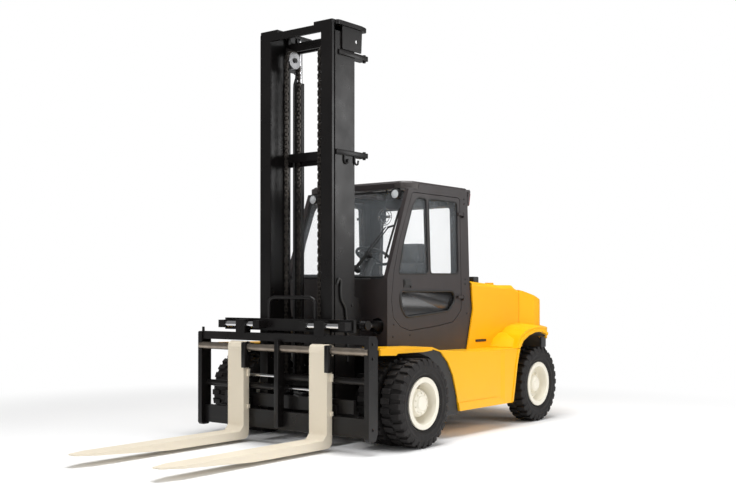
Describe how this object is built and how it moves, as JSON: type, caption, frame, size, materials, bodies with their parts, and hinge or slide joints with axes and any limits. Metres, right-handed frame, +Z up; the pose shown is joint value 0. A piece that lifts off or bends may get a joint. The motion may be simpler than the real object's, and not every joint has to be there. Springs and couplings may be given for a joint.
{
  "type": "counterbalance forklift truck",
  "caption": "Large counterbalance forklift with an enclosed cab, two-stage mast, side-shift fork carriage, dual front wheels and a steered rear axle.",
  "frame": {"origin": "on the ground under the middle of the truck's length and width, forks included", "axes": "+X to the truck's left, -Y forward along the forks, +Z up"},
  "size_m": [2.32, 5.582, 3.866],
  "materials": {
    "body_yellow": "satin paint",
    "cab_grey": "satin paint",
    "mast_black": "satin paint",
    "fork_cream": "satin paint",
    "wheel_cream": "gloss paint",
    "tyre": "moulded rubber",
    "chrome": "polished",
    "steel": "ground steel",
    "glass": "clear",
    "black_plastic": "matt",
    "tail_lens": "moulded lens",
    "engine": "painted casting",
    "seat": "woven"
  },
  "bodies": {
    "chassis": {"main_frame": "body_yellow", "front_fenders": "body_yellow", "fender_liners": "black_plastic", "counterweight": "body_yellow", "hood_sides": "body_yellow", "engine_block": "engine", "cab_floor": "cab_grey", "cab_cowl": "cab_grey", "cab_side_left": "cab_grey", "cab_side_right": "cab_grey", "tilt_anchors": "mast_black", "cab_rear_wall": "cab_grey", "cab_roof": "cab_grey", "cab_glass": "glass", "seat": "seat", "steering_column": "black_plastic", "work_lamps": "black_plastic", "tail_lamps": "tail_lens", "drive_axle": "mast_black", "steer_axle": "mast_black"},
    "hood_lid": {"hood_lid": "body_yellow"},
    "door_left": {"door_left": "cab_grey", "door_glass_left": "glass"},
    "door_right": {"door_right": "cab_grey", "door_glass_right": "glass"},
    "steering_wheel": {"steering_wheel": "black_plastic"},
    "drive_wheel_left": {"drive_tyres_left": "tyre", "drive_rims_left": "wheel_cream"},
    "drive_wheel_right": {"drive_tyres_right": "tyre", "drive_rims_right": "wheel_cream"},
    "knuckle_left": {"knuckle_left": "mast_black"},
    "knuckle_right": {"knuckle_right": "mast_black"},
    "steer_wheel_left": {"steer_tyre_left": "tyre", "steer_rim_left": "wheel_cream"},
    "steer_wheel_right": {"steer_tyre_right": "tyre", "steer_rim_right": "wheel_cream"},
    "mast_outer": {"outer_mast": "mast_black", "lift_cylinders": "mast_black", "chain_back": "steel"},
    "mast_inner": {"inner_mast": "mast_black", "chain_sheaves": "steel", "lift_rods": "chrome", "chain_front": "steel"},
    "carriage": {"carriage": "mast_black", "shift_rods": "chrome"},
    "shift_frame": {"shift_frame": "mast_black", "fork_shaft": "steel"},
    "fork_left": {"fork_left": "fork_cream", "positioner_rod_left": "chrome"},
    "fork_right": {"fork_right": "fork_cream", "positioner_rod_right": "chrome"},
    "tilt_barrel_left": {"tilt_barrel_left": "mast_black"},
    "tilt_barrel_right": {"tilt_barrel_right": "mast_black"},
    "tilt_rod_left": {"tilt_rod_left": "chrome"},
    "tilt_rod_right": {"tilt_rod_right": "chrome"}
  },
  "joints": [
    {"name": "hood_lid_hinge", "type": "hinge", "parent": "chassis", "child": "hood_lid", "pos_m": [0, 2.201, 1.484], "axis": [-1, 0, 0], "range_deg": [0, 60]},
    {"name": "door_left_hinge", "type": "hinge", "parent": "chassis", "child": "door_left", "pos_m": [0.658, 1.173, 1.7], "axis": [0, 0, 1], "range_deg": [0, 85]},
    {"name": "door_right_hinge", "type": "hinge", "parent": "chassis", "child": "door_right", "pos_m": [-0.658, 1.173, 1.7], "axis": [0, 0, -1], "range_deg": [0, 85]},
    {"name": "steering_wheel_turn", "type": "hinge", "parent": "chassis", "child": "steering_wheel", "pos_m": [0, 0.506, 1.76], "axis": [0, 0.4567, 0.8896], "continuous": true},
    {"name": "drive_left_spin", "type": "hinge", "parent": "chassis", "child": "drive_wheel_left", "pos_m": [0.917, -0.239, 0.4], "axis": [1, 0, 0], "continuous": true},
    {"name": "drive_right_spin", "type": "hinge", "parent": "chassis", "child": "drive_wheel_right", "pos_m": [-0.917, -0.239, 0.4], "axis": [1, 0, 0], "continuous": true},
    {"name": "steer_left", "type": "hinge", "parent": "chassis", "child": "knuckle_left", "pos_m": [0.76, 2.171, 0.4], "axis": [0, 0, 1], "range_deg": [-60, 60]},
    {"name": "steer_left_spin", "type": "hinge", "parent": "knuckle_left", "child": "steer_wheel_left", "pos_m": [0.888, 2.171, 0.4], "axis": [1, 0, 0], "continuous": true},
    {"name": "steer_right", "type": "hinge", "parent": "chassis", "child": "knuckle_right", "pos_m": [-0.76, 2.171, 0.4], "axis": [0, 0, 1], "range_deg": [-60, 60]},
    {"name": "steer_right_spin", "type": "hinge", "parent": "knuckle_right", "child": "steer_wheel_right", "pos_m": [-0.888, 2.171, 0.4], "axis": [1, 0, 0], "continuous": true},
    {"name": "mast_tilt", "type": "hinge", "parent": "chassis", "child": "mast_outer", "pos_m": [0, -0.239, 0.4], "axis": [1, 0, 0], "range_deg": [-6, 6]},
    {"name": "lift", "type": "slide", "parent": "mast_outer", "child": "mast_inner", "axis": [0, 0, 1], "range_m": [0, 2.7], "deforming": ["chain_back"]},
    {"name": "carriage_lift", "type": "slide", "parent": "mast_inner", "child": "carriage", "axis": [0, 0, 1], "range_m": [0, 2.7], "deforming": ["chain_front"]},
    {"name": "side_shift", "type": "slide", "parent": "carriage", "child": "shift_frame", "axis": [1, 0, 0], "range_m": [-0.085, 0.085]},
    {"name": "fork_left_slide", "type": "slide", "parent": "shift_frame", "child": "fork_left", "axis": [1, 0, 0], "range_m": [-0.32, 0.36]},
    {"name": "fork_right_slide", "type": "slide", "parent": "shift_frame", "child": "fork_right", "axis": [-1, 0, 0], "range_m": [-0.32, 0.36]},
    {"name": "tilt_barrel_left_pivot", "type": "hinge", "parent": "chassis", "child": "tilt_barrel_left", "pos_m": [0.52, 0.321, 1.04], "axis": [1, 0, 0], "range_deg": [-2, 2]},
    {"name": "tilt_rod_left_slide", "type": "slide", "parent": "tilt_barrel_left", "child": "tilt_rod_left", "axis": [0, -0.9975, 0.0712], "range_m": [-0.075, 0.075]},
    {"name": "tilt_barrel_right_pivot", "type": "hinge", "parent": "chassis", "child": "tilt_barrel_right", "pos_m": [-0.52, 0.321, 1.04], "axis": [1, 0, 0], "range_deg": [-2, 2]},
    {"name": "tilt_rod_right_slide", "type": "slide", "parent": "tilt_barrel_right", "child": "tilt_rod_right", "axis": [0, -0.9975, 0.0712], "range_m": [-0.075, 0.075]}
  ],
  "couplings": [
    {"joint": "steer_right", "follows": "steer_left", "ratio": 1},
    {"joint": "carriage_lift", "follows": "lift", "ratio": 1},
    {"joint": "fork_right_slide", "follows": "fork_left_slide", "ratio": 1},
    {"joint": "tilt_barrel_left_pivot", "follows": "mast_tilt", "ratio": 0.18782},
    {"joint": "tilt_rod_left_slide", "follows": "mast_tilt", "m_per_rad": 0.67827},
    {"joint": "tilt_barrel_right_pivot", "follows": "mast_tilt", "ratio": 0.18782},
    {"joint": "tilt_rod_right_slide", "follows": "mast_tilt", "m_per_rad": 0.67827}
  ]
}
